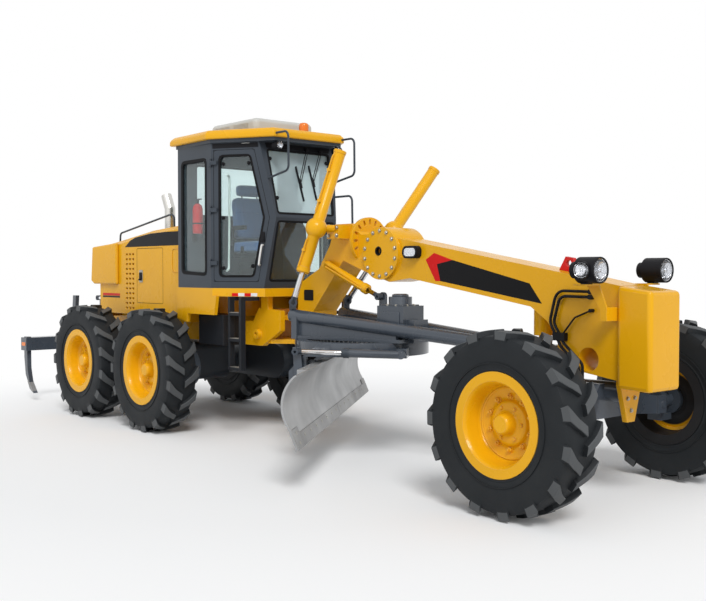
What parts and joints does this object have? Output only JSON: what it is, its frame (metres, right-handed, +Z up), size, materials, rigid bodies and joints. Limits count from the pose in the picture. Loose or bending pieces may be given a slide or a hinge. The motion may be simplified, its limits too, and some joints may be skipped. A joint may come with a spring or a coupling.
{
  "type": "motor grader",
  "caption": "Articulated road grader with an askew blade hung under a long boom, a glazed cab, tandem rear wheels, leaning front wheels and a rear ripper.",
  "frame": {"origin": "on the ground, on the centreline, under the hinge pin that joins the two frames", "axes": "+X forward, +Y to the machine's left, +Z up"},
  "size_m": [9.065, 3.0654, 3.28],
  "materials": {
    "yellow_paint": "gloss",
    "slate_paint": "semi-gloss",
    "pale_grey_paint": "satin",
    "red_paint": "gloss",
    "engine_iron": "painted",
    "bright_steel": "satin",
    "blade_steel": "satin",
    "chrome_rod": "polished",
    "clear_glass": "clear",
    "amber_plastic": "gloss",
    "black_plastic": "matte",
    "blue_fabric": "woven",
    "tyre_rubber": "matte"
  },
  "bodies": {
    "rear_frame": {"rear_chassis": "yellow_paint", "rear_axle": "slate_paint", "engine_block": "engine_iron", "hood": "yellow_paint", "rear_cowl": "yellow_paint", "exhaust_stack": "bright_steel", "cab_base": "yellow_paint", "cab_frame": "slate_paint", "cab_glass": "clear_glass", "cab_roof": "yellow_paint", "air_conditioner": "pale_grey_paint", "beacon": "amber_plastic", "seat": "blue_fabric", "steering_console": "black_plastic", "ladders": "slate_paint", "handrails": "slate_paint", "roof_lamps": "black_plastic"},
    "door_right": {"door_right": "slate_paint", "door_glass_right": "clear_glass"},
    "door_left": {"door_left": "slate_paint", "door_glass_left": "clear_glass"},
    "wheel_rear_right": {"tyre_rear_right": "tyre_rubber", "rim_rear_right": "yellow_paint"},
    "wheel_rear_left": {"tyre_rear_left": "tyre_rubber", "rim_rear_left": "yellow_paint"},
    "wheel_mid_right": {"tyre_mid_right": "tyre_rubber", "rim_mid_right": "yellow_paint"},
    "wheel_mid_left": {"tyre_mid_left": "tyre_rubber", "rim_mid_left": "yellow_paint"},
    "ripper": {"ripper": "slate_paint"},
    "front_frame": {"boom": "yellow_paint", "front_weight": "yellow_paint", "headlamps": "black_plastic", "lamp_brackets": "yellow_paint", "lifting_eye": "red_paint", "front_axle": "slate_paint", "hoses": "black_plastic"},
    "lean_right": {"lean_bracket_right": "slate_paint"},
    "lean_left": {"lean_bracket_left": "slate_paint"},
    "steer_right": {"spindle_right": "slate_paint"},
    "steer_left": {"spindle_left": "slate_paint"},
    "wheel_front_right": {"tyre_front_right": "tyre_rubber", "rim_front_right": "yellow_paint"},
    "wheel_front_left": {"tyre_front_left": "tyre_rubber", "rim_front_left": "yellow_paint"},
    "drawbar": {"drawbar": "slate_paint"},
    "circle": {"circle": "slate_paint"},
    "blade_carrier": {"blade_carrier": "slate_paint"},
    "moldboard": {"moldboard": "blade_steel"},
    "lift_right_barrel": {"lift_right_barrel": "yellow_paint"},
    "lift_right_rod": {"lift_right_rod": "chrome_rod"},
    "lift_left_barrel": {"lift_left_barrel": "yellow_paint"},
    "lift_left_rod": {"lift_left_rod": "chrome_rod"},
    "shift_barrel": {"shift_barrel": "yellow_paint"},
    "shift_rod": {"shift_rod": "chrome_rod"},
    "tilt_barrel": {"tilt_barrel": "slate_paint"},
    "tilt_rod": {"tilt_rod": "chrome_rod"},
    "ripper_barrel": {"ripper_barrel": "slate_paint"},
    "ripper_rod": {"ripper_rod": "chrome_rod"}
  },
  "joints": [
    {"name": "wheel_rear_right_spin", "type": "hinge", "parent": "rear_frame", "child": "wheel_rear_right", "pos_m": [-2.95, -1.023, 0.65141], "axis": [0, 1, 0], "continuous": true},
    {"name": "wheel_rear_left_spin", "type": "hinge", "parent": "rear_frame", "child": "wheel_rear_left", "pos_m": [-2.95, 1.023, 0.65141], "axis": [0, 1, 0], "continuous": true},
    {"name": "wheel_mid_right_spin", "type": "hinge", "parent": "rear_frame", "child": "wheel_mid_right", "pos_m": [-1.46, -1.023, 0.65141], "axis": [0, 1, 0], "continuous": true},
    {"name": "wheel_mid_left_spin", "type": "hinge", "parent": "rear_frame", "child": "wheel_mid_left", "pos_m": [-1.46, 1.023, 0.65141], "axis": [0, 1, 0], "continuous": true},
    {"name": "articulation", "type": "hinge", "parent": "rear_frame", "child": "front_frame", "pos_m": [0, 0, 1.1], "axis": [0, 0, -1], "range_deg": [-27, 27]},
    {"name": "door_right_hinge", "type": "hinge", "parent": "rear_frame", "child": "door_right", "pos_m": [-0.702, -0.78269, 2.25], "axis": [0, 0, -1], "range_deg": [0, 90]},
    {"name": "door_left_hinge", "type": "hinge", "parent": "rear_frame", "child": "door_left", "pos_m": [-0.702, 0.78269, 2.25], "axis": [0, 0, 1], "range_deg": [0, 90]},
    {"name": "ripper_lift", "type": "hinge", "parent": "rear_frame", "child": "ripper", "pos_m": [-3.74, 0, 1.06], "axis": [0, 1, 0], "range_deg": [-25, 15]},
    {"name": "lean_right", "type": "hinge", "parent": "front_frame", "child": "lean_right", "pos_m": [3.475, -0.72, 0.64], "axis": [1, 0, 0], "range_deg": [-17, 17]},
    {"name": "steer_right", "type": "hinge", "parent": "lean_right", "child": "steer_right", "pos_m": [3.475, -0.85, 0.64], "axis": [0, 0, 1], "range_deg": [-45, 45]},
    {"name": "wheel_front_right_spin", "type": "hinge", "parent": "steer_right", "child": "wheel_front_right", "pos_m": [3.475, -1.023, 0.65141], "axis": [0, 1, 0], "continuous": true},
    {"name": "lean_left", "type": "hinge", "parent": "front_frame", "child": "lean_left", "pos_m": [3.475, 0.72, 0.64], "axis": [1, 0, 0], "range_deg": [-17, 17]},
    {"name": "steer_left", "type": "hinge", "parent": "lean_left", "child": "steer_left", "pos_m": [3.475, 0.85, 0.64], "axis": [0, 0, 1], "range_deg": [-45, 45]},
    {"name": "wheel_front_left_spin", "type": "hinge", "parent": "steer_left", "child": "wheel_front_left", "pos_m": [3.475, 1.023, 0.65141], "axis": [0, 1, 0], "continuous": true},
    {"name": "blade_lift", "type": "hinge", "parent": "front_frame", "child": "drawbar", "pos_m": [2.95, 0, 1.09], "axis": [0.1219, -0.9925, 0], "range_deg": [-1, 18]},
    {"name": "circle_turn", "type": "hinge", "parent": "drawbar", "child": "circle", "pos_m": [1.0195, -0.23704, 1.01], "axis": [0, 0, 1], "range_deg": [-90, 50]},
    {"name": "blade_tilt", "type": "hinge", "parent": "circle", "child": "blade_carrier", "pos_m": [0.69204, -0.51573, 0.47], "axis": [-0.6481, 0.7615, 0], "range_deg": [-5, 40]},
    {"name": "blade_side_shift", "type": "slide", "parent": "blade_carrier", "child": "moldboard", "axis": [-0.6481, 0.7615, 0], "range_m": [-0.6, 0.6]},
    {"name": "lift_right_swing", "type": "hinge", "parent": "front_frame", "child": "lift_right_barrel", "pos_m": [0.67, -0.495, 2.1], "axis": [0.7762, -0.6301, 0.021], "range_deg": [-0.73, 9.83]},
    {"name": "lift_right_stroke", "type": "slide", "parent": "lift_right_barrel", "child": "lift_right_rod", "axis": [-0.1728, -0.2447, -0.9541], "range_m": [-0.0452, 0.7622]},
    {"name": "lift_left_swing", "type": "hinge", "parent": "front_frame", "child": "lift_left_barrel", "pos_m": [0.67, 0.495, 2.1], "axis": [0.8728, -0.4875, 0.0244], "range_deg": [-1.14, 17.19]},
    {"name": "lift_left_stroke", "type": "slide", "parent": "lift_left_barrel", "child": "lift_left_rod", "axis": [-0.2579, -0.503, -0.8249], "range_m": [-0.042, 0.7053]},
    {"name": "shift_swing", "type": "hinge", "parent": "front_frame", "child": "shift_barrel", "pos_m": [0.448, -0.2, 1.765], "axis": [-0.0026, 1, -0.0066], "range_deg": [-1.76, 28.23]},
    {"name": "shift_stroke", "type": "slide", "parent": "shift_barrel", "child": "shift_rod", "axis": [0.9317, 0, -0.3632], "range_m": [-0.02, 0.3099]},
    {"name": "tilt_swing", "type": "hinge", "parent": "circle", "child": "tilt_barrel", "pos_m": [1.79659, -0.47123, 0.985], "axis": [0.6481, -0.7615, 0], "range_deg": [-1.28, 8.85]},
    {"name": "tilt_stroke", "type": "slide", "parent": "tilt_barrel", "child": "tilt_rod", "axis": [-0.7614, -0.648, 0.0163], "range_m": [-0.3503, 0.0464]},
    {"name": "ripper_swing", "type": "hinge", "parent": "rear_frame", "child": "ripper_barrel", "pos_m": [-3.65, 0, 1.23], "axis": [0, -1, 0], "range_deg": [-13.84, 22.94]},
    {"name": "ripper_stroke", "type": "slide", "parent": "ripper_barrel", "child": "ripper_rod", "axis": [-0.9962, 0, 0.0866], "range_m": [-0.0443, 0.0718]}
  ],
  "couplings": [
    {"joint": "lean_left", "follows": "lean_right", "ratio": 1},
    {"joint": "steer_left", "follows": "steer_right", "ratio": 1},
    {"joint": "lift_right_swing", "follows": "blade_lift", "ratio": 0.53523},
    {"joint": "lift_right_stroke", "follows": "blade_lift", "m_per_rad": 2.4165},
    {"joint": "lift_left_swing", "follows": "blade_lift", "ratio": 0.94409},
    {"joint": "lift_left_stroke", "follows": "blade_lift", "m_per_rad": 2.2355},
    {"joint": "shift_swing", "follows": "blade_lift", "ratio": 1.5572},
    {"joint": "shift_stroke", "follows": "blade_lift", "m_per_rad": 0.97674},
    {"joint": "tilt_swing", "follows": "blade_tilt", "ratio": 0.21613},
    {"joint": "tilt_stroke", "follows": "blade_tilt", "m_per_rad": -0.4975},
    {"joint": "ripper_swing", "follows": "ripper_lift", "ratio": -0.90954},
    {"joint": "ripper_stroke", "follows": "ripper_lift", "m_per_rad": -0.15768}
  ]
}
